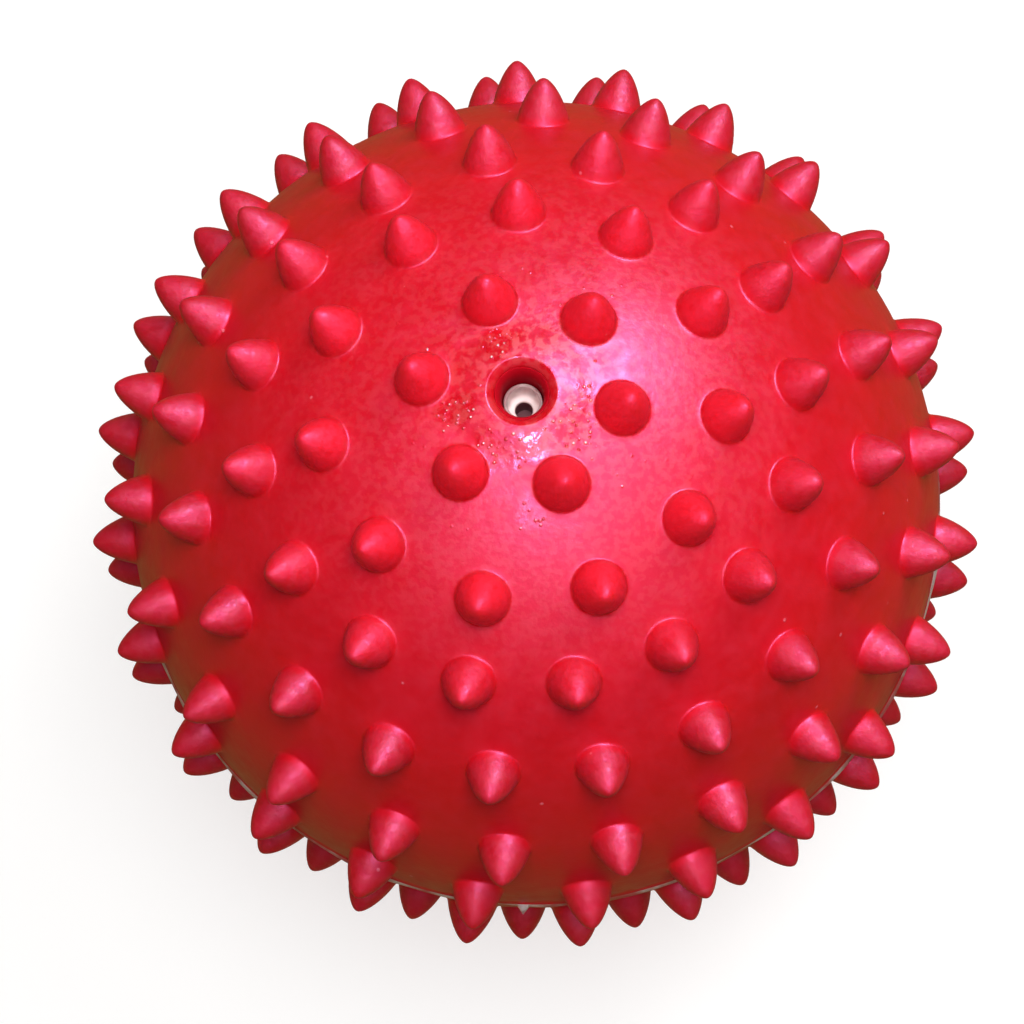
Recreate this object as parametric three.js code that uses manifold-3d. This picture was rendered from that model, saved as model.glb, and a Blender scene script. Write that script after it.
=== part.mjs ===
// Spiky massage ball: a hollow soft skin with rings of blunt spikes and a needle valve at the top.
// Millimetres and degrees. +Z runs up the valve axis, and the origin is the centre of the ball.
import * as THREE from 'three';
import { ConvexHull } from 'three/addons/math/ConvexHull.js';
import { mergeVertices } from 'three/addons/utils/BufferGeometryUtils.js';
import Module from 'manifold-3d';

const wasm = await Module();
wasm.setup();

// Skin: a hollow sphere with a parting line round its middle
const skinRadius = 45.4;
const skinWall = 2.6;
const seamWidth = 1.0;
const seamHeight = 0.35;

// Spikes: bullet shapes that stand on the skin in rings about the valve axis, listed from the valve down.
// A blunter spike has a rounder tip, and a less blunt one has steeper sides over its foot.
// A ring's first spike stands at its start angle from +X. At the peak angle the spikes run ahead of even
// spacing by the sway, and across from it they lag by as much. The last four rings mirror the first four.
const spikeHeight = 4.6;
const spikeBase = 5.7;
const spikeBluntness = 0.85;
const rings = [
  { fromValve: 13, count: 6, start: 44, sway: 2.5, peak: 254 },
  { fromValve: 27, count: 11, start: 21, sway: 2, peak: 280 },
  { fromValve: 38.5, count: 16, start: 2, sway: 2.5, peak: 213 },
  { fromValve: 52, count: 20, start: 7, sway: 1.5, peak: 88 },
  { fromValve: 67.5, count: 23, start: 8, sway: 2.5, peak: 326 },
  { fromValve: 82, count: 24, start: 0, sway: 0.5, peak: 297 },
  { fromValve: 96, count: 24, start: -0.5, sway: 1, peak: 130 },
  { fromValve: 109, count: 23, start: 12.5, sway: 2.5, peak: 60 },
  { fromValve: 128, count: 20, start: 7, sway: 1.5, peak: 88 },
  { fromValve: 141.5, count: 16, start: 2, sway: 2.5, peak: 213 },
  { fromValve: 153, count: 11, start: 21, sway: 2, peak: 280 },
  { fromValve: 167, count: 6, start: 44, sway: 2.5, peak: 254 },
];

// Valve mouth in the skin, and the clearance between pieces that are pressed or bonded together
const mouthBore = 5.6;
const mouthRound = 0.8;
const fitGap = 0.15;

// Valve housing: funnel, neck through the skin, flange under the skin and stem inside the ball
const lipDrop = 0.3;
const funnelDepth = 4.0;
const flangeDiameter = 15.0;
const flangeThickness = 1.5;
const stemDiameter = 7.0;
const stemLength = 12.6;
const stemRound = 0.6;

// Valve core: a cup with a needle hole in its floor, on a stem that ends in a slit beak
const coreDiameter = 4.0;
const coreSeatDepth = 8.6;
const coreRound = 0.2;
const cupBore = 3.3;
const cupDepth = 3.0;
const coreStemDiameter = 3.0;
const coreStemLength = 3.0;
const beakLength = 3.4;
const beakWidth = 1.6;
const needleBore = 1.8;
const needleDepth = 6.0;
const slitLength = 1.5;
const slitWidth = 0.25;

// Facets
const skinSegments = 48;
const poleSegments = 12;
const innerSteps = 16;
const innerSegments = 32;
const valveSegments = 28;
const spikeSegments = 7;
const spikeSteps = 3;
const roundSteps = 3;
const funnelSteps = 4;

const red = { color: 0xc8101c, roughness: 0.28, metalness: 0 };
const deepRed = { color: 0xb50f1a, roughness: 0.35, metalness: 0 };
const white = { color: 0xe9ddd4, roughness: 0.5, metalness: 0 };

const skinInside = skinRadius - skinWall;
const mouthRadius = mouthBore / 2;
const mouthHeight = heightOn(skinRadius, mouthRadius + mouthRound);
const lipHeight = mouthHeight - lipDrop;
const wellRadius = coreDiameter / 2 + fitGap;
const coreTop = mouthHeight - funnelDepth;
const coreSeat = mouthHeight - coreSeatDepth;

// Height over the ball's centre of the point of a sphere that lies this far from the axis
function heightOn(sphereRadius, distance) {
  return Math.sqrt(sphereRadius ** 2 - distance ** 2);
}

function point(radius, height) {
  return new THREE.Vector2(radius, height);
}

// Points on an arc about a centre on the profile plane, from one angle to another, both included
function arc(centre, radius, from, to, steps) {
  const points = [];
  for (let i = 0; i <= steps; i += 1) {
    const angle = THREE.MathUtils.degToRad(THREE.MathUtils.lerp(from, to, i / steps));
    points.push(point(centre.x + radius * Math.cos(angle), centre.y + radius * Math.sin(angle)));
  }
  return points;
}

// A profile of (radius, height) points turned about +Z
function revolve(profile, segments) {
  return new THREE.LatheGeometry(profile, segments).rotateX(Math.PI / 2);
}

// A closed geometry as a solid that can be joined and cut
function toSolid(geometry) {
  const bare = geometry.clone();
  bare.deleteAttribute('normal');
  bare.deleteAttribute('uv');
  const merged = mergeVertices(bare);
  const corners = merged.index.array;
  const triVerts = [];
  for (let i = 0; i < corners.length; i += 3) {
    const [a, b, c] = corners.slice(i, i + 3);
    if (a !== b && b !== c && c !== a) {
      triVerts.push(a, b, c);
    }
  }
  const vertProperties = new Float32Array(merged.attributes.position.array);
  const mesh = new wasm.Mesh({ numProp: 3, vertProperties, triVerts: new Uint32Array(triVerts) });
  return new wasm.Manifold(mesh);
}

function toGeometry(solid) {
  const mesh = solid.getMesh();
  const geometry = new THREE.BufferGeometry();
  geometry.setAttribute('position', new THREE.BufferAttribute(mesh.vertProperties, mesh.numProp));
  geometry.setIndex(new THREE.BufferAttribute(mesh.triVerts, 1));
  geometry.computeVertexNormals();
  return geometry;
}

// Unit vector at these angles from the valve axis and round it
function directionAt(fromValve, around) {
  const down = THREE.MathUtils.degToRad(fromValve);
  const turn = THREE.MathUtils.degToRad(around);
  return new THREE.Vector3(Math.sin(down) * Math.cos(turn), Math.sin(down) * Math.sin(turn), Math.cos(down));
}

// Directions of every spike
function spikeDirections() {
  const directions = [];
  for (const { fromValve, count, start, sway, peak } of rings) {
    for (let i = 0; i < count; i += 1) {
      const even = start + (360 * i) / count;
      const around = even + sway * Math.cos(THREE.MathUtils.degToRad(even - peak));
      directions.push(directionAt(fromValve, around));
    }
  }
  return directions;
}

// Radius of a spike at a share of its height
function spikeRadius(share) {
  const round = Math.sqrt(1 - share);
  const ogive = 1 - share ** 2;
  return (spikeBase / 2) * THREE.MathUtils.lerp(ogive, round, spikeBluntness);
}

// Points of the bare skin where no spike stands: the poles, a circle round each and the middle
function barePoints() {
  const poleAngle = THREE.MathUtils.radToDeg(Math.asin((mouthRadius + 2 * mouthRound) / skinRadius));
  const circles = [
    { fromValve: 0, count: 1 },
    { fromValve: poleAngle, count: poleSegments },
    { fromValve: 90, count: skinSegments },
    { fromValve: 180 - poleAngle, count: poleSegments },
    { fromValve: 180, count: 1 },
  ];
  const points = [];
  for (const { fromValve, count } of circles) {
    for (let i = 0; i < count; i += 1) {
      points.push(directionAt(fromValve, (360 * i) / count).multiplyScalar(skinRadius));
    }
  }
  return points;
}

// Loops of points round a spike from its foot, which lies on the skin, up to just under its tip
function spikeLoops(direction) {
  const turn = new THREE.Quaternion().setFromUnitVectors(new THREE.Vector3(0, 0, 1), direction);
  const tip = skinRadius + spikeHeight;
  const foot = heightOn(skinRadius, spikeBase / 2);
  const loops = [];
  for (let i = 0; i < spikeSteps; i += 1) {
    const share = 1 - (1 - i / spikeSteps) ** 2;
    const height = THREE.MathUtils.lerp(foot, tip, share);
    const loop = arc(point(0, 0), spikeRadius(share), 0, 360, spikeSegments).slice(1);
    loops.push(loop.map(({ x, y }) => new THREE.Vector3(x, y, height).applyQuaternion(turn)));
  }
  return loops;
}

// Triangles between the loops of a spike and from the last loop to its tip
function spikeTriangles(loops, tip) {
  const corners = [];
  loops.forEach((loop, level) => {
    const above = loops[level + 1];
    loop.forEach((a, i) => {
      const next = (i + 1) % loop.length;
      corners.push(a, loop[next], above ? above[next] : tip);
      if (above) {
        corners.push(a, above[next], above[i]);
      }
    });
  });
  return corners;
}

// The outside: a net over the spikes' feet and the bare points, with a spike in place of each foot
function makeOutside() {
  const corners = [];
  const netPoints = barePoints();
  const footOf = new Map();
  spikeDirections().forEach((direction, spike) => {
    const loops = spikeLoops(direction);
    const tip = direction.clone().multiplyScalar(skinRadius + spikeHeight);
    corners.push(...spikeTriangles(loops, tip));
    for (const corner of loops[0]) {
      netPoints.push(corner);
      footOf.set(corner, spike);
    }
  });
  for (const face of new ConvexHull().setFromPoints(netPoints).faces) {
    const triangle = [face.edge.prev, face.edge, face.edge.next].map((edge) => edge.head().point);
    const feet = new Set(triangle.map((corner) => footOf.get(corner)));
    if (feet.size > 1 || feet.has(undefined)) {
      corners.push(...triangle);
    }
  }
  return toSolid(new THREE.BufferGeometry().setFromPoints(corners));
}

// The thin bead that the mould's parting line leaves round the middle
function makeSeam() {
  const profile = [
    point(skinRadius - seamHeight, -seamWidth / 2),
    point(skinRadius + seamHeight, 0),
    point(skinRadius - seamHeight, seamWidth / 2),
    point(skinRadius - seamHeight, -seamWidth / 2),
  ];
  return toSolid(revolve(profile, skinSegments));
}

// The hollow inside the ball, with the rounded mouth that the valve sits in
function makeHollow() {
  const above = skinRadius + skinWall;
  const flangeEdge = THREE.MathUtils.radToDeg(Math.acos((flangeDiameter / 2 + fitGap) / skinInside));
  const mouthInside = THREE.MathUtils.radToDeg(Math.acos(mouthRadius / skinInside));
  const roundCentre = point(mouthRadius + mouthRound, mouthHeight - mouthRound);
  const profile = [
    ...arc(point(0, 0), skinInside, -90, flangeEdge, innerSteps),
    ...arc(point(0, 0), skinInside, flangeEdge, mouthInside, roundSteps).slice(1),
    ...arc(roundCentre, mouthRound, 180, 90, roundSteps),
    point(mouthRadius + mouthRound, above),
    point(0, above),
  ];
  profile[0].x = 0;
  return toSolid(revolve(profile, innerSegments));
}

function makeBallSkin() {
  return toGeometry(makeOutside().add(makeSeam()).subtract(makeHollow()));
}

// The insert in the mouth: its flange follows the inside of the skin
function makeValveHousing() {
  const neckRadius = mouthRadius - fitGap;
  const flangeSphere = skinInside - fitGap;
  const flangeRadius = flangeDiameter / 2;
  const flangeRim = heightOn(flangeSphere, flangeRadius);
  const stemRadius = stemDiameter / 2;
  const stemEnd = mouthHeight - stemLength;
  const coreStemWell = coreStemDiameter / 2 + fitGap;
  const flangeInner = THREE.MathUtils.radToDeg(Math.acos(neckRadius / flangeSphere));
  const flangeOuter = THREE.MathUtils.radToDeg(Math.acos(flangeRadius / flangeSphere));
  const profile = [
    point(coreStemWell, stemEnd),
    ...arc(point(stemRadius - stemRound, stemEnd + stemRound), stemRound, -90, 0, roundSteps),
    point(stemRadius, flangeRim - flangeThickness),
    point(flangeRadius, flangeRim - flangeThickness),
    ...arc(point(0, 0), flangeSphere, flangeOuter, flangeInner, roundSteps),
    point(neckRadius, lipHeight),
    ...funnelProfile(neckRadius),
    point(wellRadius, coreSeat),
    point(coreStemWell, coreSeat),
    point(coreStemWell, stemEnd),
  ];
  return revolve(profile, valveSegments);
}

// The funnel wall, steeper the deeper it goes, from the lip down to the top of the core
function funnelProfile(neckRadius) {
  const points = [];
  for (let i = 1; i <= funnelSteps; i += 1) {
    const share = i / funnelSteps;
    const radius = wellRadius + (neckRadius - wellRadius) * (1 - share) ** 2;
    points.push(point(radius, THREE.MathUtils.lerp(lipHeight, coreTop, share)));
  }
  return points;
}

// The white plug: a cup over a stem, drawn down to a beak with a slit for the needle
function makeValveCore() {
  const coreRadius = coreDiameter / 2;
  const needleRadius = needleBore / 2;
  const shoulder = coreSeat + fitGap;
  const stemEnd = shoulder - coreStemLength;
  const beakEnd = stemEnd - beakLength;
  const cupFloor = coreTop - cupDepth;
  const needleEnd = coreTop - needleDepth;
  const profile = [
    point(0, beakEnd),
    point(beakWidth / 2, beakEnd),
    point(coreStemDiameter / 2, stemEnd),
    point(coreStemDiameter / 2, shoulder),
    point(coreRadius, shoulder),
    ...arc(point(coreRadius - coreRound, coreTop - coreRound), coreRound, 0, 90, roundSteps),
    point(cupBore / 2, coreTop),
    point(cupBore / 2, cupFloor),
    point(needleRadius, cupFloor),
    point(needleRadius, needleEnd),
    point(0, needleEnd),
  ];
  const slitHeight = needleEnd + slitWidth - beakEnd;
  const slit = new THREE.BoxGeometry(slitLength, slitWidth, 2 * slitHeight);
  slit.translate(0, 0, beakEnd);
  return toGeometry(toSolid(revolve(profile, valveSegments)).subtract(toSolid(slit)));
}

function addPiece(group, name, geometry, finish) {
  const mesh = new THREE.Mesh(geometry, new THREE.MeshStandardMaterial(finish));
  mesh.name = name;
  group.add(mesh);
}

const ball = new THREE.Group();
addPiece(ball, 'ball_skin', makeBallSkin(), red);
addPiece(ball, 'valve_housing', makeValveHousing(), deepRed);
addPiece(ball, 'valve_core', makeValveCore(), white);

export default ball;
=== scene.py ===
import math
import random

import bpy
import numpy as np
from mathutils import Matrix, Vector
from mathutils.geometry import delaunay_2d_cdt


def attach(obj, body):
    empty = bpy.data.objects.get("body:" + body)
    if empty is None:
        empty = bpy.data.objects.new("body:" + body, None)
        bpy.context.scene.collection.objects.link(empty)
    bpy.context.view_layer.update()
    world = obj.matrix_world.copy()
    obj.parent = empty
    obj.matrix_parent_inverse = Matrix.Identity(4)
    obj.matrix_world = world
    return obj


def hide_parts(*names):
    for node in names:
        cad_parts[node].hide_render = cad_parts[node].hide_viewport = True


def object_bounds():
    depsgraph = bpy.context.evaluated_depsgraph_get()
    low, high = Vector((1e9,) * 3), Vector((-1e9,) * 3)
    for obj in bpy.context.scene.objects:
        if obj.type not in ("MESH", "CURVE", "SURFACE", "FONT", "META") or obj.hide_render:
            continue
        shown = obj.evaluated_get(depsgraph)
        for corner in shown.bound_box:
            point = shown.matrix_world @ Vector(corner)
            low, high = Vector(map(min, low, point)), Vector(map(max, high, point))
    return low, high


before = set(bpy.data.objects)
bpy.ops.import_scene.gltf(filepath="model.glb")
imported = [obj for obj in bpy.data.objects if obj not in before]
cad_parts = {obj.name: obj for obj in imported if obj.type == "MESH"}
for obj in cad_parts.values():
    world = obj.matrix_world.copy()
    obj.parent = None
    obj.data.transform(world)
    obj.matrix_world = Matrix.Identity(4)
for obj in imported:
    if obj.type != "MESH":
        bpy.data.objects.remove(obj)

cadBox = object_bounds()
mm = 0.001
print("frame loaded, pieces:", ", ".join(sorted(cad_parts)))


# Mesh helpers

def addPiece(name, points, faces):
    mesh = bpy.data.meshes.new(name)
    mesh.from_pydata([tuple(p) for p in points], [], faces)
    mesh.shade_smooth()
    piece = bpy.data.objects.new(name, mesh)
    bpy.context.scene.collection.objects.link(piece)
    return piece


def band(lower, upper):                        # quads between two loops of point numbers
    count = len(lower)
    return [(lower[i], lower[(i + 1) % count], upper[(i + 1) % count], upper[i]) for i in range(count)]


def fan(loop, tip):                            # triangles from a loop to one point
    count = len(loop)
    return [(loop[i], loop[(i + 1) % count], tip) for i in range(count)]


def addRows(points, faces, rows, firstLoop, tip):        # rows that go on from a loop and close on a tip
    below = firstLoop
    for row in rows:
        start = len(points)
        points.extend(row)
        loop = list(range(start, start + len(row)))
        faces.extend(band(below, loop))
        below = loop
    points.append(tip)
    faces.extend(fan(below, len(points) - 1))


def ring(radius, height, count):
    turns = [2 * math.pi * i / count for i in range(count)]
    return [Vector((radius * math.cos(t), radius * math.sin(t), height)) for t in turns]


def arc(centre, radius, start, end, steps):    # (distance from the axis, height), angles in degrees
    angles = [math.radians(start + (end - start) * i / steps) for i in range(steps + 1)]
    return [(centre[0] + radius * math.cos(a), centre[1] + radius * math.sin(a)) for a in angles]


def heightOn(sphere, distance):
    return math.sqrt(sphere ** 2 - distance ** 2)


def turned(name, profile, count):              # a closed profile turned about the valve axis
    points = []
    faces = []
    loops = []
    for radius, height in profile:
        if radius > 0:
            loops.append(list(range(len(points), len(points) + count)))
            points.extend(ring(radius, height, count))
        else:
            loops.append([len(points)])
            points.append(Vector((0, 0, height)))
    for lower, upper in zip(loops, loops[1:] + loops[:1]):
        if len(lower) > 1 and len(upper) > 1:
            faces.extend(band(lower, upper))
        elif len(lower) > 1:
            faces.extend(fan(lower, upper[0]))
        elif len(upper) > 1:
            faces.extend(fan(upper[::-1], lower[0]))
    return addPiece(name, points, faces)


# Ball skin: one hollow moulding with its spikes, its parting line and the valve's mouth

skin = dict(
    radius=45.4 * mm,
    wall=2.6 * mm,
    spikeHeight=4.56 * mm,
    spikeFoot=2.85 * mm,                       # radius at the skin
    spikeBluntness=0.80,                       # 1 is a paraboloid, less is nearer to an ogive
    footFillet=0.24 * mm,
    footCollar=0.40 * mm,                      # a loop of plain skin round each foot
    mouthRadius=2.8 * mm,
    lipRound=0.8 * mm,
    lipTurn=120,                               # degrees: 90 rolls smoothly off the skin, more breaks off it
    lipEnd=150,                                # degrees: 180 runs smoothly into the bore, less breaks into it
    lipCollars=(0.06 * mm, 0.45 * mm, 1.0 * mm, 1.7 * mm),
    seamWidth=0.6 * mm,
    seamRise=0.42 * mm,
    tearAt=261.5,                              # degrees from +X to a torn bit of flash
    tearRise=0.9 * mm,
    seamWaves=(3, 10, 17, 24, 31),             # waves round the ball that the flash's height adds up
    seamEven=0.75,                             # the share of its rise that stands everywhere
    seamUneven=0.6,                            # and the share that the waves add or take
    netPitch=1.6 * mm,
    netMargin=0.75,                            # pitches left free beside every loop
    netMerge=1e-9,
    spikeSides=24,
    spikeLevels=10,
    filletSteps=3,
    mouthSides=96,
    seamSides=420,
    poleSides=24,
    poleRadius=2.2 * mm,
    lipSteps=9,
    liningSteps=26,
    liningEnd=-88,                             # degrees: the last ring before the lining's far point
    seed=11,
)


spikeRings = (                                 # degrees: the sway is how far spikes run ahead at the peak
    dict(fromValve=13, count=6, start=44, sway=2.5, peak=254),
    dict(fromValve=27, count=11, start=21, sway=2, peak=280),
    dict(fromValve=38.5, count=16, start=2, sway=2.5, peak=213),
    dict(fromValve=52, count=20, start=7, sway=1.5, peak=88),
    dict(fromValve=67.5, count=23, start=8, sway=2.5, peak=326),
    dict(fromValve=82, count=24, start=0, sway=0.5, peak=297),
    dict(fromValve=96, count=24, start=-0.5, sway=1, peak=130),
    dict(fromValve=109, count=23, start=12.5, sway=2.5, peak=60),
)
spikeRings += tuple(                           # the last four rings mirror the first four
    dict(spec, fromValve=180 - spec["fromValve"]) for spec in spikeRings[3::-1]
)


def spikeAxes():
    axes = []
    for spec in spikeRings:
        polar = math.radians(spec["fromValve"])
        for i in range(spec["count"]):
            even = spec["start"] + 360 * i / spec["count"]
            around = math.radians(even + spec["sway"] * math.cos(math.radians(even - spec["peak"])))
            flat = math.sin(polar)
            axes.append(Vector((flat * math.cos(around), flat * math.sin(around), math.cos(polar))))
    return axes


def spikeProfile():                            # over the fillet and up the side, without the tip
    foot = skin["spikeFoot"]
    fillet = skin["footFillet"]
    blunt = skin["spikeBluntness"]
    tip = skin["radius"] + skin["spikeHeight"]
    base = heightOn(skin["radius"], foot)
    rise = tip - base

    def onSide(share):
        radius = foot * (blunt * math.sqrt(1 - share) + (1 - blunt) * (1 - share ** 2))
        return (radius, base + rise * share)

    filletShare = fillet / rise
    start = (foot + fillet, heightOn(skin["radius"], foot + fillet))
    corner = (foot, base)
    end = onSide(filletShare)
    rows = []
    for i in range(skin["filletSteps"] + 1):
        t = i / skin["filletSteps"]
        weights = ((1 - t) ** 2, 2 * t * (1 - t), t ** 2)           # a curve that rounds the corner
        rows.append(tuple(sum(w * p[k] for w, p in zip(weights, (start, corner, end))) for k in (0, 1)))
    for i in range(1, skin["spikeLevels"]):
        left = 1 - i / skin["spikeLevels"]
        rows.append(onSide(1 - (1 - filletShare) * left ** 2))      # closer together towards the tip
    return rows


def aroundAxis(axis, radius, height, count):   # a loop about a spike's axis
    turn = Vector((0, 0, 1)).rotation_difference(axis).to_matrix()
    return [turn @ p for p in ring(radius, height, count)]


def netPoints(axes):                           # points spread evenly over the bare skin
    pitch = skin["netPitch"]
    radius = skin["radius"]
    count = round(4 * math.pi * radius ** 2 / (pitch ** 2 * math.sqrt(3) / 2))
    index = np.arange(count) + 0.5
    z = 1 - 2 * index / count
    around = index * math.pi * (3 - math.sqrt(5))                   # turned on by the golden angle
    flat = np.sqrt(1 - z ** 2)
    spots = np.stack([flat * np.cos(around), flat * np.sin(around), z], axis=1)
    margin = skin["netMargin"] * pitch
    clear = (spots @ np.array([a[:] for a in axes]).T).max(axis=1)
    clear = clear < math.cos((skin["spikeFoot"] + skin["footFillet"] + skin["footCollar"] + margin) / radius)
    clear &= np.abs(z) * radius > skin["seamWidth"] / 2 + margin
    fromPole = flat * radius
    clear &= (z < 0) | (fromPole > skin["mouthRadius"] + skin["lipRound"] + skin["lipCollars"][-1] + margin)
    clear &= (z > 0) | (fromPole > skin["poleRadius"] + margin)
    return [Vector(p) * radius for p in spots[clear].tolist()]


def makeSkin():
    chance = random.Random(skin["seed"])
    radius = skin["radius"]
    axes = spikeAxes()
    profile = spikeProfile()
    points = netPoints(axes)
    loopOf = {}
    loops = []

    def addLoop(row):
        loop = list(range(len(points), len(points) + len(row)))
        points.extend(row)
        loopOf.update((i, len(loops)) for i in loop)
        loops.append(loop)
        return loop

    spikeLoops = [addLoop(aroundAxis(axis, *profile[0], skin["spikeSides"])) for axis in axes]
    lipOuter = skin["mouthRadius"] + skin["lipRound"]
    mouthLoop = addLoop(ring(lipOuter, heightOn(radius, lipOuter), skin["mouthSides"]))
    for axis in axes:
        collar = profile[0][0] + skin["footCollar"]
        addLoop(aroundAxis(axis, collar, heightOn(radius, collar), skin["spikeSides"]))
    for out in skin["lipCollars"]:
        addLoop(ring(lipOuter + out, heightOn(radius, lipOuter + out), skin["mouthSides"]))
    seamEdge = skin["seamWidth"] / 2
    seamLoops = []
    for height in (-seamEdge, 0, seamEdge):
        seamLoops.append(addLoop(ring(heightOn(radius, height), height, skin["seamSides"])))
    poleLoop = addLoop(ring(skin["poleRadius"], -heightOn(radius, skin["poleRadius"]), skin["poleSides"]))

    flat = [Vector((p.x, p.y)) / (radius + p.z) for p in points]    # seen from the pole across from the valve
    edges = [(loop[i - 1], loop[i]) for loop in loops for i in range(len(loop))]
    net = delaunay_2d_cdt(flat, edges, [], 0, skin["netMerge"])
    source = [numbers[0] for numbers in net[3]]
    faces = []
    openLoops = set(range(len(axes) + 1))                           # the spikes' feet and the mouth
    for face in net[2]:
        corners = [source[i] for i in face]
        marks = {loopOf.get(i) for i in corners}
        if len(marks) > 1 or not marks <= openLoops:
            faces.append(corners)

    for axis, loop in zip(axes, spikeLoops):
        rows = [aroundAxis(axis, r, h, skin["spikeSides"]) for r, h in profile[1:]]
        addRows(points, faces, rows, loop, axis * (radius + skin["spikeHeight"]))

    waves = [(count, chance.uniform(0, 2 * math.pi)) for count in skin["seamWaves"]]
    for k, i in enumerate(seamLoops[1]):
        turn = 2 * math.pi * k / skin["seamSides"]
        wave = sum(math.sin(count * turn + phase) for count, phase in waves) / len(waves)
        rise = skin["seamRise"] * (skin["seamEven"] + skin["seamUneven"] * wave)
        points[i] = points[i] * (1 + rise / radius)
    torn = seamLoops[1][round(skin["seamSides"] * skin["tearAt"] / 360)]
    points[torn] = points[torn] * (1 + skin["tearRise"] / radius)

    inside = radius - skin["wall"]
    bore = skin["mouthRadius"]
    lipTurn = math.radians(skin["lipTurn"])
    lipEnd = math.radians(skin["lipEnd"])
    bend = skin["lipRound"] / (math.cos(lipTurn) - math.cos(lipEnd))
    lipCentre = (bore - bend * math.cos(lipEnd), heightOn(radius, lipOuter) - bend * math.sin(lipTurn))
    lip = arc(lipCentre, bend, skin["lipTurn"], skin["lipEnd"], skin["lipSteps"])[1:]
    mouthAngle = math.degrees(math.acos(bore / inside))
    lining = arc((0, 0), inside, mouthAngle, skin["liningEnd"], skin["liningSteps"])
    rows = [ring(r, h, skin["mouthSides"]) for r, h in lip + lining]
    addRows(points, faces, rows, mouthLoop, Vector((0, 0, -inside)))
    points.append(Vector((0, 0, -radius)))
    faces.extend(fan(poleLoop[::-1], len(points) - 1))
    return addPiece("ballSkin", points, faces)


ballSkin = makeSkin()
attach(ballSkin, "ball")
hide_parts("ball_skin")
print("ball skin:", len(ballSkin.data.vertices), "points")


# Valve: the red housing in the mouth and the white core in its well

valve = dict(
    fitGap=0.15 * mm,
    neckGap=0.02 * mm,
    lipDrop=0.82 * mm,
    lipRound=0.05 * mm,
    funnelDepth=4.0 * mm,
    funnelFlare=5,                             # more narrows the funnel sooner below its lip
    funnelSteps=18,
    funnelCrowding=1.6,                        # more puts the funnel's rings nearer to its lip
    funnelInset=1.6,                           # lip rounds from the neck to the funnel's top
    flangeRadius=7.5 * mm,
    flangeThickness=1.5 * mm,
    stemRadius=3.5 * mm,
    stemLength=12.6 * mm,
    stemRound=0.6 * mm,
    coreRadius=2.0 * mm,
    coreSeatDepth=8.6 * mm,
    rimRound=0.2 * mm,
    cupRadius=1.65 * mm,
    cupDepth=3.0 * mm,
    cupRound=0.35 * mm,
    coreStemRadius=1.5 * mm,
    coreStemLength=3.0 * mm,
    beakLength=3.4 * mm,
    beakRadius=0.8 * mm,
    needleRadius=0.9 * mm,
    needleRound=0.20 * mm,
    needleDepth=6.0 * mm,
    slitLength=1.5 * mm,
    slitWidth=0.25 * mm,
    rimDrop=0.5,                               # rim rounds from the top to the cup's edge
    smallSteps=4,                              # steps in the small rounds, the lips and the large rounds
    lipSteps=5,
    roundSteps=6,
    sides=96,
    sharpAngle=40,                             # degrees
)
mouthHeight = heightOn(skin["radius"], skin["mouthRadius"] + skin["lipRound"])
coreTop = mouthHeight - valve["funnelDepth"]
coreSeat = mouthHeight - valve["coreSeatDepth"]
cupFloor = coreTop - valve["cupDepth"]


def makeHousing():
    neck = skin["mouthRadius"] - valve["neckGap"]
    flangeSphere = skin["radius"] - skin["wall"] - valve["fitGap"]
    flangeRim = heightOn(flangeSphere, valve["flangeRadius"])
    stemEnd = mouthHeight - valve["stemLength"]
    well = valve["coreRadius"] + valve["fitGap"]
    stemWell = valve["coreStemRadius"] + valve["fitGap"]
    stemRound = valve["stemRound"]
    lipRound = valve["lipRound"]
    lip = mouthHeight - valve["lipDrop"]
    outer = math.degrees(math.acos(valve["flangeRadius"] / flangeSphere))
    inner = math.degrees(math.acos(neck / flangeSphere))
    profile = [(stemWell, stemEnd)]
    stemCentre = (valve["stemRadius"] - stemRound, stemEnd + stemRound)
    profile += arc(stemCentre, stemRound, -90, 0, valve["roundSteps"])
    profile += [(valve["stemRadius"], flangeRim - valve["flangeThickness"])]
    profile += [(valve["flangeRadius"], flangeRim - valve["flangeThickness"])]
    profile += arc((0, 0), flangeSphere, outer, inner, valve["roundSteps"])
    profile += arc((neck - lipRound, lip - lipRound), lipRound, 0, 90, valve["lipSteps"])
    funnelTop = neck - valve["funnelInset"] * lipRound
    for i in range(valve["funnelSteps"]):
        share = ((i + 1) / valve["funnelSteps"]) ** valve["funnelCrowding"]
        narrowed = (1 - share) ** valve["funnelFlare"]
        profile.append((well + (funnelTop - well) * narrowed, lip + (coreTop - lip) * share))
    profile += [(well, coreSeat), (stemWell, coreSeat)]
    return turned("valveHousing", profile, valve["sides"])


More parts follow.
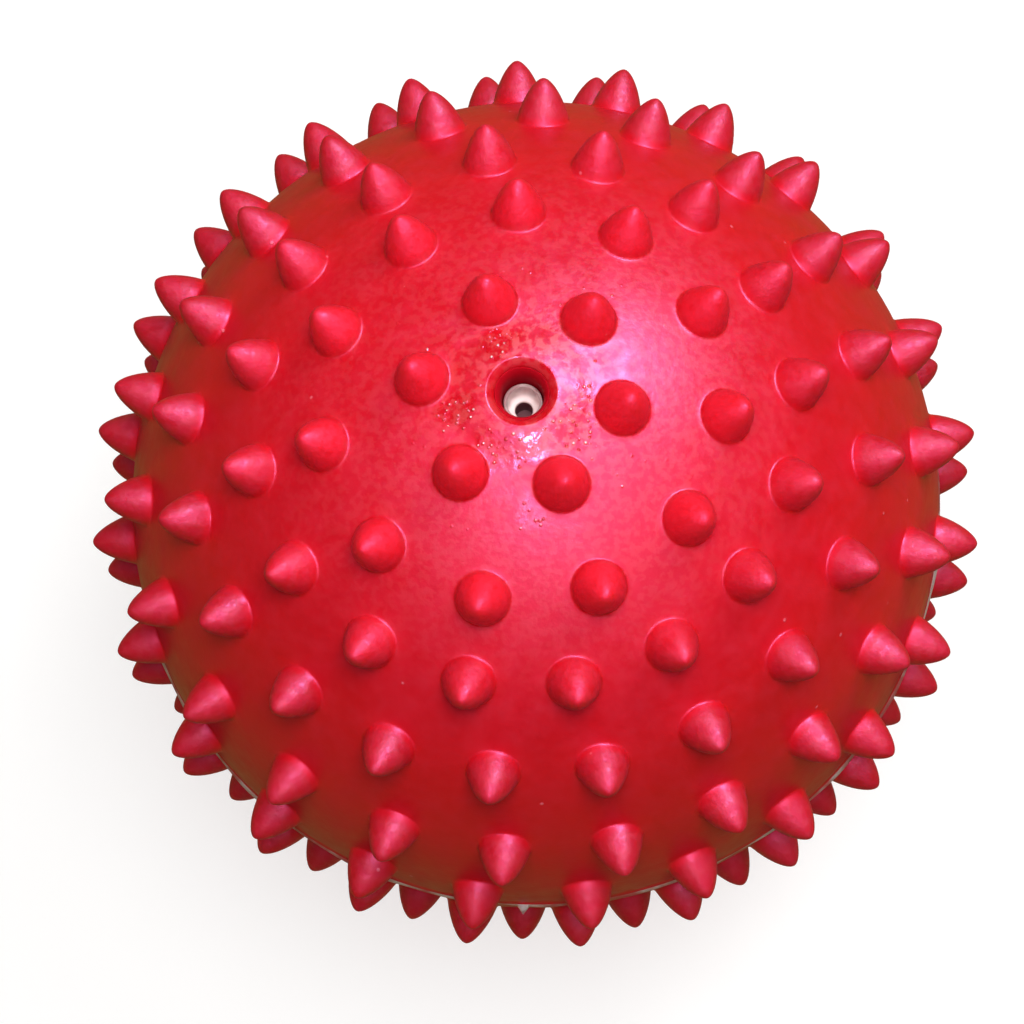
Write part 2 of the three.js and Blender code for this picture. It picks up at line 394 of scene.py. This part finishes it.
def makeCore():
    rimRound = valve["rimRound"]
    cupRound = valve["cupRound"]
    holeRound = valve["needleRound"]
    shoulder = coreSeat + valve["fitGap"]
    stemEnd = shoulder - valve["coreStemLength"]
    beakEnd = stemEnd - valve["beakLength"]
    needleEnd = coreTop - valve["needleDepth"]
    profile = [(0, beakEnd), (valve["beakRadius"] - holeRound, beakEnd)]
    profile += [(valve["beakRadius"], beakEnd + holeRound)]
    profile += [(valve["coreStemRadius"], stemEnd), (valve["coreStemRadius"], shoulder)]
    rimCentre = valve["coreRadius"] - rimRound
    profile += arc((rimCentre, shoulder + rimRound), rimRound, -90, 0, valve["smallSteps"])
    profile += arc((rimCentre, coreTop - rimRound), rimRound, 0, 90, valve["lipSteps"])
    profile += [(valve["cupRadius"], coreTop - valve["rimDrop"] * rimRound)]
    cupCentre = (valve["cupRadius"] - cupRound, cupFloor + cupRound)
    profile += arc(cupCentre, cupRound, 0, -90, valve["roundSteps"])
    holeCentre = (valve["needleRadius"] + holeRound, cupFloor - holeRound)
    profile += arc(holeCentre, holeRound, 90, 180, valve["smallSteps"])
    profile += [(valve["needleRadius"], needleEnd), (0, needleEnd)]
    core = turned("valveCore", profile, valve["sides"])

    slitTop = needleEnd + valve["slitWidth"]                        # the slit opens into the needle hole
    x, y = valve["slitLength"] / 2, valve["slitWidth"] / 2
    below = beakEnd - valve["slitWidth"]
    outline = ((-x, -y), (x, -y), (x, y), (-x, y))
    corners = [Vector((*across, z)) for z in (below, slitTop) for across in outline]
    walls = [(3, 2, 1, 0), (4, 5, 6, 7)] + band([0, 1, 2, 3], [4, 5, 6, 7])
    knife = addPiece("slitKnife", corners, walls)
    cut = core.modifiers.new("slit", "BOOLEAN")
    cut.operation = "DIFFERENCE"
    cut.solver = "EXACT"
    cut.object = knife
    graph = bpy.context.evaluated_depsgraph_get()
    finished = bpy.data.meshes.new_from_object(core.evaluated_get(graph))
    core.modifiers.clear()
    core.data = finished
    bpy.data.objects.remove(knife)
    return core


valveHousing = makeHousing()
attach(valveHousing, "ball")
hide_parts("valve_housing")
valveCore = makeCore()
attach(valveCore, "core")
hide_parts("valve_core")
for piece in (valveHousing, valveCore):
    piece.data.set_sharp_from_angle(angle=math.radians(valve["sharpAngle"]))
print("valve:", len(valveHousing.data.vertices) + len(valveCore.data.vertices), "points")


# Finishes

class Wire:                                    # a shader socket that can stand in a sum
    def __init__(self, finish, socket):
        self.finish = finish
        self.socket = socket

    def math(self, operation, *values):
        return self.finish.node("ShaderNodeMath", {"operation": operation}, dict(enumerate(values)))

    def __add__(self, other):
        return self.math("ADD", self, other)

    def __radd__(self, other):
        return self.math("ADD", other, self)

    def __sub__(self, other):
        return self.math("SUBTRACT", self, other)

    def __rsub__(self, other):
        return self.math("SUBTRACT", other, self)

    def __mul__(self, other):
        return self.math("MULTIPLY", self, other)

    def __rmul__(self, other):
        return self.math("MULTIPLY", other, self)

    def __pow__(self, other):
        return self.math("POWER", self, other)

    def __abs__(self):
        return self.math("ABSOLUTE", self)

    def atMost(self, limit):
        return self.math("MINIMUM", self, limit)

    def atLeast(self, limit):
        return self.math("MAXIMUM", self, limit)


class Finish:                                  # a material and the one way that its nodes are made
    def __init__(self, name, look, owner=None):
        self.look = look
        self.material = owner or bpy.data.materials.new(name)
        self.material.use_nodes = True
        self.tree = self.material.node_tree
        self.tree.nodes.clear()

    def node(self, kind, settings=None, inputs=None, output=0):
        made = self.tree.nodes.new(kind)
        for key, value in (settings or {}).items():
            setattr(made, key, value)
        for key, value in (inputs or {}).items():
            if isinstance(value, Wire):
                self.tree.links.new(value.socket, made.inputs[key])
            else:
                made.inputs[key].default_value = value
        return Wire(self, made.outputs[output]) if len(made.outputs) else None

    def place(self):
        return self.node("ShaderNodeTexCoord", output="Object")

    def parts(self, vector):                   # the x, y and z of a vector
        split = self.node("ShaderNodeSeparateXYZ", None, {0: vector})
        return [Wire(self, socket) for socket in split.socket.node.outputs]

    def noise(self, where, scale, detail=2.0):
        return self.node("ShaderNodeTexNoise", None, {"Vector": where, "Scale": scale, "Detail": detail})

    def cells(self, where, scale):             # distance to the nearest cell's middle, and its own colour
        distance = self.node("ShaderNodeTexVoronoi", None, {"Vector": where, "Scale": scale})
        return distance, Wire(self, distance.socket.node.outputs["Color"])

    def step(self, value, start, end, low=0.0, high=1.0):
        return self.node("ShaderNodeMapRange", {"interpolation_type": "SMOOTHSTEP"},
                         {"Value": value, "From Min": start, "From Max": end, "To Min": low, "To Max": high})

    def fade(self, value, name):               # a step by one of the look's own fades
        return self.step(value, *self.look["fades"][name])

    def swing(self, noise):                    # a noise about 0
        return noise - 0.5

    def mix(self, share, first, second):
        return self.node("ShaderNodeMix", {"data_type": "RGBA"}, {0: share, 6: first, 7: second}, 2)

    def bump(self, height):                    # height in metres
        return self.node("ShaderNodeBump", None, {"Strength": 1.0, "Distance": 1.0, "Height": height})

    def close(self, **sockets):
        named = {key.replace("_", " "): value for key, value in sockets.items()}
        shader = self.node("ShaderNodeBsdfPrincipled", None, named)
        self.node("ShaderNodeOutputMaterial", None, {"Surface": shader})
        return self.material


redSkin = dict(
    deep=(0.674, 0.0035, 0.0085, 1),
    bright=(0.696, 0.0050, 0.0120, 1),
    clusterShade=(0.60, 0.0025, 0.0080, 1),         # painted shade: a darker red between the bubbles, where the broken surface loses its sheen
    paintedSheen=(0.80, 0.26, 0.36, 1),               # painted sheen: faint pink flecks in the red where the gloss breaks up
    spikeLitRed=(0.90, 0.0080, 0.0180, 1),        # painted light: the spikes round the valve are painted a brighter red
    spikeLow=(0.58, 0.0045, 0.0110, 1),
    speck=(0.92, 0.22, 0.30, 1),
    flash=(1.0, 0.72, 0.74, 1),
    glint=(1.0, 0.86, 0.90, 1),
    shadeShares=(0.4, 0.3, 0.3),               # cloud, blotch and patch in the change from deep to bright
    paintedSheenShares=(0.5, 0.5),                     # patch and pebble in the painted sheen
    paintedSheenShare=0.014,
    clusterShadeShare=0.5,
    speckShare=0.6,
    glintShare=0.9,
    satin=0.40,                                # roughness of the bare skin
    wetGloss=0.10,
    blotchSwing=0.12,                          # how far noises swing the roughness
    patchSwing=0.25,
    valveSwing=0.2,
    bubbleWet=(0.25, 0.7),                     # how wet the clusters are, and what pebbles add
    lipWet=0.7,
    wetFilm=0.5,
    noiseScales=(48, 210, 520, 900, 1300),     # cloud, blotch, patch, pebble and mottle
    noiseDetail=3,
    grainScale=2600,
    speckCells=330.0,
    bubbleCells=1700.0,
    clusterPull=0.8,                           # how many more cells hold a bubble in a cluster
    clusterReach=(0.5, 1.1),                   # shares of its reach where a cluster thins out and ends
    ragged=1.6 * mm,                           # how far the edges of clusters and wet patches wander
    glintShift=(0.03 * mm, 0.06 * mm, 0),
    glintCore=0.06,
    glintSize=(0.12, 0.20),                    # the least, and what chance adds
    wetSpot=(0.9 * mm, -5.6 * mm),             # a bare glossy patch beside the mouth
    wetReach=(0.8 * mm, 2.6 * mm),
    padRise=0.60 * mm,                         # the skin swells up to the mouth
    padReach=8.0 * mm,
    bumps=dict(
        grain=0.016 * mm,
        pebble=0.022 * mm,
        blotch=0.012 * mm,
        speck=0.03 * mm,
        valvePatch=0.08 * mm,
        spikePebble=0.09 * mm,
        bead=0.12 * mm,
        bubblePebble=0.08 * mm,
    ),
    fades=dict(                                # start and end, then what they give if that isn't 0 and 1
        top=(0, 10 * mm),
        spike=(skin["radius"] + 0.25 * mm, skin["radius"] + 1.2 * mm),
        byValve=(7 * mm, 19 * mm, 1.0, 0.0),
        held=(0.965, 0.985),
        speck=(0.04, 0.09, 1.0, 0.0),
        speckHeld=(0.80, 0.84),
        bead=(0.05, 0.38, 1.0, 0.0),
        glintHeld=(0.35, 0.45),
        shade=(0.36, 0.64),
        paintedSheenPatches=(0.40, 0.66),
        clusterShade=(0.42, 0.58),
        # painted light: heights over which the spikes turn to the brighter red
        spikeLitRed=(33 * mm, 47 * mm),
        flashRise=(skin["radius"] + 0.05 * mm, skin["radius"] + 0.14 * mm),
        flashWidth=(0.25 * mm, 0.5 * mm, 1.0, 0.0),
        flashPatches=(0.42, 0.58, 0.2, 1.0),
        spikeSatin=(0.50, 0.60, 0.57, 0.44),   # shiny bits break up the sheen of a spike
        lip=(0.1 * mm, 0.6 * mm, 1.0, 0.0),
        lipPatches=(0.40, 0.55),
        flecks=(0.42, 0.60),                   # the sheen is broken up, most of all round the valve
        milkyReach=(4 * mm, 13 * mm, 0.6, 0.0),
        milkySide=(-5 * mm, 2 * mm, 0.35, 1.0),
        topFilm=(31 * mm, 42 * mm, 0.0, 0.30),
        spikeFilm=(34 * mm, 46 * mm, 1.0, 0.12),
        spikePatches=(0.40, 0.60, 0.05, 0.27),
    ),
    shader=dict(
        Subsurface_Weight=0.25,
        Subsurface_Radius=(1.0, 0.12, 0.10),
        Subsurface_Scale=2.0 * mm,
        IOR=1.52,
        Specular_Tint=(1.0, 0.40, 1.0, 1),     # the red gives its gloss a pink cast
        Coat_Roughness=0.60,
        Coat_IOR=1.5,
    ),
)
bubbleSpots = (                                # clusters of tiny bubbles round the valve: x, y and reach
    (-3.9 * mm, -5.6 * mm, 2.8 * mm),
    (-1.7 * mm, -6.0 * mm, 2.2 * mm),
    (4.6 * mm, -4.2 * mm, 3.0 * mm),
    (6.2 * mm, -0.8 * mm, 1.5 * mm),
    (-1.9 * mm, 5.2 * mm, 2.0 * mm),
    (-6.6 * mm, -1.3 * mm, 2.4 * mm),
    (-0.8 * mm, -12.9 * mm, 1.9 * mm),
)


def finishSkin():
    f = Finish("redSkin", redSkin)
    where = f.place()
    x, y, z = f.parts(where)
    fromCentre = f.node("ShaderNodeVectorMath", {"operation": "LENGTH"}, {0: where}, 1)
    fromAxis = (x * x + y * y) ** 0.5
    onSpike = f.fade(fromCentre, "spike")
    bare = f.fade(fromAxis, "byValve") * f.fade(z, "top") * (1 - onSpike)
    noises = [f.noise(where, scale, redSkin["noiseDetail"]) for scale in redSkin["noiseScales"]]
    cloud, blotch, patch, pebble, mottle = noises
    grain = f.noise(where, redSkin["grainScale"])

    def near(spot, inner, outer):              # 1 at a spot beside the valve, 0 at the outer distance from it
        away = ((x - spot[0]) ** 2.0 + (y - spot[1]) ** 2.0) ** 0.5
        return f.step(away + f.swing(patch) * redSkin["ragged"], inner, outer, 1.0, 0.0)

    bubbly = 0.0
    thins, ends = redSkin["clusterReach"]
    for spotX, spotY, reach in bubbleSpots:
        bubbly = bubbly + near((spotX, spotY), thins * reach, ends * reach)
    bubbly = bubbly.atMost(1.0) * bare
    wet = near(redSkin["wetSpot"], *redSkin["wetReach"]) * bare

    def held(cellColour):                      # which cells hold a bubble: most in a cluster, few elsewhere
        return f.fade(f.parts(cellColour)[1] + redSkin["clusterPull"] * bubbly, "held") * bare

    cells, cellColour = f.cells(where, redSkin["speckCells"])
    speck = f.fade(cells, "speck") * f.fade(f.parts(cellColour)[0], "speckHeld")
    beads, beadColour = f.cells(where, redSkin["bubbleCells"])
    bead = f.fade(beads, "bead") * held(beadColour)
    shifted = f.node("ShaderNodeVectorMath", {"operation": "SUBTRACT"}, {0: where, 1: redSkin["glintShift"]})
    glints, glintColour = f.cells(shifted, redSkin["bubbleCells"])
    least, more = redSkin["glintSize"]
    chance = f.parts(glintColour)
    glint = f.step(glints, redSkin["glintCore"], least + more * chance[2], 1.0, 0.0) * held(glintColour)
    glint = glint * f.fade(chance[0], "glintHeld")

    ofCloud, ofBlotch, ofPatch = redSkin["shadeShares"]
    shade = f.fade(cloud * ofCloud + blotch * ofBlotch + patch * ofPatch, "shade")
    colour = f.mix(shade, redSkin["deep"], redSkin["bright"])
    # painted sheen: faint pink flecks mixed into the red
    ofPatch, ofPebble = redSkin["paintedSheenShares"]
    paintedSheenMask = f.fade(patch * ofPatch + pebble * ofPebble, "paintedSheenPatches")
    colour = f.mix(paintedSheenMask * redSkin["paintedSheenShare"], colour, redSkin["paintedSheen"])
    # painted shade: darker red patches in the bubble clusters
    colour = f.mix(bubbly * f.fade(pebble, "clusterShade") * redSkin["clusterShadeShare"], colour, redSkin["clusterShade"])
    # painted light: spikes near the valve are a brighter red than the lower ones
    spikePaintedLight = f.mix(f.fade(z, "spikeLitRed"), redSkin["spikeLow"], redSkin["spikeLitRed"])
    colour = f.mix(onSpike, colour, spikePaintedLight)
    colour = f.mix(speck * redSkin["speckShare"], colour, redSkin["speck"])
    onFlash = f.fade(fromCentre, "flashRise") * f.fade(abs(z), "flashWidth")
    colour = f.mix(onFlash * f.fade(blotch, "flashPatches"), colour, redSkin["flash"])
    colour = f.mix(glint * redSkin["glintShare"], colour, redSkin["glint"])

    rough = redSkin["satin"] + redSkin["blotchSwing"] * f.swing(blotch)
    rough = rough + redSkin["patchSwing"] * f.swing(patch) + redSkin["valveSwing"] * bare * f.swing(patch)
    rough = rough + onSpike * (f.fade(mottle, "spikeSatin") - redSkin["satin"])
    lipEdge = skin["mouthRadius"] + skin["lipRound"]
    onLip = f.fade(abs(fromAxis - lipEdge), "lip") * bare * f.fade(patch, "lipPatches")
    always, onPebbles = redSkin["bubbleWet"]
    wetness = bubbly * (always + onPebbles * pebble) + bead + wet + redSkin["lipWet"] * onLip
    rough = rough + wetness * (redSkin["wetGloss"] - redSkin["satin"])
    rough = rough.atLeast(redSkin["wetGloss"])

    bumps = redSkin["bumps"]
    height = grain * bumps["grain"] + pebble * bumps["pebble"] + blotch * bumps["blotch"]
    height = height + speck * bumps["speck"] + bare * patch * bumps["valvePatch"]
    height = height + onSpike * pebble * bumps["spikePebble"]
    height = height + bead * bumps["bead"] + bubbly * pebble * bumps["bubblePebble"]
    height = height + f.step(fromAxis, lipEdge, redSkin["padReach"], redSkin["padRise"], 0.0) * bare

    milky = f.fade(fromAxis, "milkyReach") * f.fade(x, "milkySide") * bare
    film = f.fade(mottle, "flecks") * (milky + f.fade(z, "topFilm")) * (1 - onSpike)
    film = film + onSpike * f.fade(z, "spikeFilm") * f.fade(pebble, "spikePatches")
    film = (film + redSkin["wetFilm"] * (wet + bead + onFlash)).atMost(1.0)
    return f.close(
        Base_Color=colour, Roughness=rough, Normal=f.bump(height), Coat_Weight=film, **redSkin["shader"],
    )


redHousing = dict(
    bright=(0.52, 0.005, 0.016, 1),
    funnelShade=(0.44, 0.004, 0.018, 1),
    cloudScale=420,
    cloudDetail=3,
    grainScale=3000,
    ragged=0.8 * mm,                           # how far the edge of the painted shade wanders
    satin=0.34,
    satinSwing=0.16,
    grainBump=0.006 * mm,
    cloudBump=0.03 * mm,
    # painted shade: the funnel is painted darker deeper down
    fades=dict(deep=(mouthHeight - 3.2 * mm, mouthHeight - 0.8 * mm, 1.0, 0.0)),
    shader=dict(
        Subsurface_Weight=0.1,
        Subsurface_Radius=(1.0, 0.12, 0.10),
        Subsurface_Scale=1.0 * mm,
        IOR=1.45,
        Specular_IOR_Level=0.01,
        Specular_Tint=redSkin["shader"]["Specular_Tint"],
    ),
)


def finishHousing():
    f = Finish("redHousing", redHousing)
    where = f.place()
    z = f.parts(where)[2]
    cloud = f.noise(where, redHousing["cloudScale"], redHousing["cloudDetail"])
    grain = f.noise(where, redHousing["grainScale"])
    # painted shade: darker red deeper in the funnel
    deep = f.fade(z + f.swing(cloud) * redHousing["ragged"], "deep")
    colour = f.mix(deep, redHousing["bright"], redHousing["funnelShade"])
    rough = redHousing["satin"] + redHousing["satinSwing"] * cloud
    height = grain * redHousing["grainBump"] + cloud * redHousing["cloudBump"]
    return f.close(Base_Color=colour, Roughness=rough, Normal=f.bump(height), **redHousing["shader"])


whiteCore = dict(
    clean=(0.90, 0.74, 0.73, 1),
    tinted=(0.80, 0.56, 0.55, 1),
    rimShade=(0.42, 0.22, 0.23, 1),                 # painted shade: the rim's top and the top of the cup, down in the well, are a dark pinkish grey
    # painted shade: a dark brown in and just round the needle hole
    hole=(0.140, 0.028, 0.042, 1),
    stainAndShadeShare=0.6,
    cloudScale=700,
    cloudDetail=3,
    grainScale=4200,
    satin=0.38,
    satinSwing=0.2,
    grainBump=0.006 * mm,
    cloudBump=0.02 * mm,
    fades=dict(
        outward=(1.2 * mm, 2.2 * mm, -0.18, 0.18),                  # painted shade: the tint gathers towards the rim
        stainAndShade=(0.45, 0.75),
        holeDepth=(cupFloor - 0.5 * mm, cupFloor + 0.05 * mm, 1.0, 0.0),
        holeWidth=(valve["needleRadius"] + 0.05 * mm, valve["needleRadius"] + 0.25 * mm, 1.0, 0.0),
        rimShadeWidth=(1.50 * mm, 1.72 * mm),
        rimShadeHeight=(coreTop - 0.5 * mm, coreTop - 0.1 * mm),
        rimShadePatches=(0.35, 0.60, 0.55, 1.0),
    ),
    shader=dict(
        Subsurface_Weight=0.2,
        Subsurface_Radius=(1.0, 0.8, 0.7),
        Subsurface_Scale=0.8 * mm,
        IOR=1.5,
    ),
)


def finishCore():
    f = Finish("whiteCore", whiteCore)
    where = f.place()
    x, y, z = f.parts(where)
    fromAxis = (x * x + y * y) ** 0.5
    cloud = f.noise(where, whiteCore["cloudScale"], whiteCore["cloudDetail"])
    grain = f.noise(where, whiteCore["grainScale"])
    # stains in clouds, with painted shade that deepens towards the rim
    stainAndShade = f.fade(cloud + f.fade(fromAxis, "outward"), "stainAndShade")
    # painted shade: dark brown in the needle hole and round its edge
    inNeedleShade = f.fade(z, "holeDepth") * f.fade(fromAxis, "holeWidth")
    # painted shade: a dark pinkish grey round the rim and the top of the cup
    onRimShade = f.fade(fromAxis, "rimShadeWidth") * f.fade(z, "rimShadeHeight") * f.fade(cloud, "rimShadePatches")
    colour = f.mix(stainAndShade * whiteCore["stainAndShadeShare"], whiteCore["clean"], whiteCore["tinted"])
    colour = f.mix(onRimShade, colour, whiteCore["rimShade"])
    colour = f.mix(inNeedleShade, colour, whiteCore["hole"])
    rough = whiteCore["satin"] + whiteCore["satinSwing"] * cloud
    height = grain * whiteCore["grainBump"] + cloud * whiteCore["cloudBump"]
    return f.close(Base_Color=colour, Roughness=rough, Normal=f.bump(height), **whiteCore["shader"])


finishes = ((ballSkin, finishSkin()), (valveHousing, finishHousing()), (valveCore, finishCore()))
for piece, material in finishes:
    piece.data.materials.clear()
    piece.data.materials.append(material)
print("finishes done")


# Studio: camera, soft lights and a pale floor

view = dict(
    distance=375 * mm,
    elevation=75.3,
    roll=-7.1,
    lens=116.2,
    sensor=36.0,
    centre=(535.7, 504.6),                     # the ball's centre in the image, in pixels
    image=1024,
)


def cameraTurn():                              # columns: the camera's right, up and back
    e = math.radians(view["elevation"])
    r = math.radians(view["roll"])
    back = Vector((0, -math.cos(e), math.sin(e)))
    right = Vector((1, 0, 0))
    up = back.cross(right)
    across = right * math.cos(r) + up * math.sin(r)
    upward = up * math.cos(r) - right * math.sin(r)
    return Matrix((across, upward, back)).transposed()


def addCamera():
    lens = bpy.data.cameras.new("photoCamera")
    lens.lens = view["lens"]
    lens.sensor_width = view["sensor"]
    lens.shift_x = (view["image"] / 2 - view["centre"][0]) / view["image"]
    lens.shift_y = (view["centre"][1] - view["image"] / 2) / view["image"]
    camera = bpy.data.objects.new("photoCamera", lens)
    turn = cameraTurn()
    camera.matrix_world = Matrix.Translation(turn @ Vector((0, 0, view["distance"]))) @ turn.to_4x4()
    bpy.context.scene.collection.objects.link(camera)
    bpy.context.scene.camera = camera


softboxes = dict(                              # towards: right, up and back, as the camera sees it
    frontFill=dict(towards=(0.05, 0.20, 0.97), distance=0.70, size=0.40, watts=4.1, gloss=False),
    windowFill=dict(towards=(0.47, 0.69, 0.545), distance=0.90, size=0.42, watts=2.6, gloss=False),
    windowSheen=dict(towards=(0.32, 0.60, 0.73), distance=0.90, size=0.36, watts=12.5, fill=False),
    frontSheen=dict(towards=(0.12, 0.10, 0.98), distance=0.80, size=1.00, watts=9.8, fill=False),
    glint=dict(towards=(0.040, 0.015, 1.0), distance=0.70, size=0.08, watts=1.8, fill=False),
)


floorBounce = dict(size=0.14, watts=0.030, gloss=False)             # light off the floor under the ball


def addSoftbox(name, spot, size, watts, gloss=True, fill=True):     # faces the ball
    lamp = bpy.data.lights.new(name, "AREA")
    lamp.shape = "DISK"
    lamp.size = size
    lamp.energy = watts
    box = bpy.data.objects.new(name, lamp)
    box.location = spot
    box.rotation_euler = spot.to_track_quat("Z", "Y").to_euler()
    box.visible_camera = False
    box.visible_glossy = gloss
    box.visible_diffuse = fill
    bpy.context.scene.collection.objects.link(box)


def addLights():
    for name, spec in softboxes.items():
        towards = Vector(spec["towards"]).normalized()
        rest = {key: value for key, value in spec.items() if key not in ("towards", "distance")}
        addSoftbox(name, cameraTurn() @ towards * spec["distance"], **rest)
    addSoftbox("floorBounce", Vector((0, 0, cadBox[0][2])), **floorBounce)


floorLook = dict(
    half=12.0,
    pale=(0.31, 0.31, 0.306, 1),
    paler=(0.33, 0.33, 0.326, 1),
    glow=(0.70, 0.70, 0.695, 1),               # keeps the shadows pale
    glowStrength=1.0,
    cloudScale=4,
    cloudDetail=3,
    rough=0.75,
    roughSwing=0.1,
)


def addFloor():
    low = cadBox[0][2]
    half = floorLook["half"]
    corners = [(-half, -half, low), (half, -half, low), (half, half, low), (-half, half, low)]
    floor = addPiece("studioFloor", corners, [(0, 1, 2, 3)])
    f = Finish("paleFloor", floorLook)
    cloud = f.noise(f.place(), floorLook["cloudScale"], floorLook["cloudDetail"])
    colour = f.mix(cloud, floorLook["pale"], floorLook["paler"])
    floor.data.materials.append(f.close(
        Base_Color=colour, Roughness=floorLook["rough"] + floorLook["roughSwing"] * cloud,
        Emission_Color=floorLook["glow"], Emission_Strength=floorLook["glowStrength"],
    ))
    floor.visible_glossy = False               # keeps a white haze off the lower half of the ball
    floor.visible_diffuse = False


airLook = dict(
    above=(0.12, 0.115, 0.115, 1),
    below=(0.205, 0.195, 0.055, 1),
    seen=(0.735, 0.735, 0.730, 1),             # the pale backdrop, which the far floor runs into
    fades=dict(rise=(-0.15, 0.35)),            # from the air below to the air above
    strength=1.0,
)


def addWorld():
    world = bpy.data.worlds.new("studioAir")
    world.use_nodes = True
    f = Finish("studioAir", airLook, world)
    up = f.parts(f.node("ShaderNodeTexCoord", output="Generated"))[2]
    air = f.mix(f.fade(up, "rise"), airLook["below"], airLook["above"])
    seen = f.node("ShaderNodeLightPath", output="Is Camera Ray")
    glow = f.mix(seen, air, airLook["seen"])
    light = f.node("ShaderNodeBackground", None, {"Color": glow, "Strength": airLook["strength"]})
    f.node("ShaderNodeOutputWorld", None, {"Surface": light})
    bpy.context.scene.world = world


addCamera()
addLights()
addFloor()
addWorld()
bpy.context.scene.view_settings.view_transform = "Standard"
print("studio done")
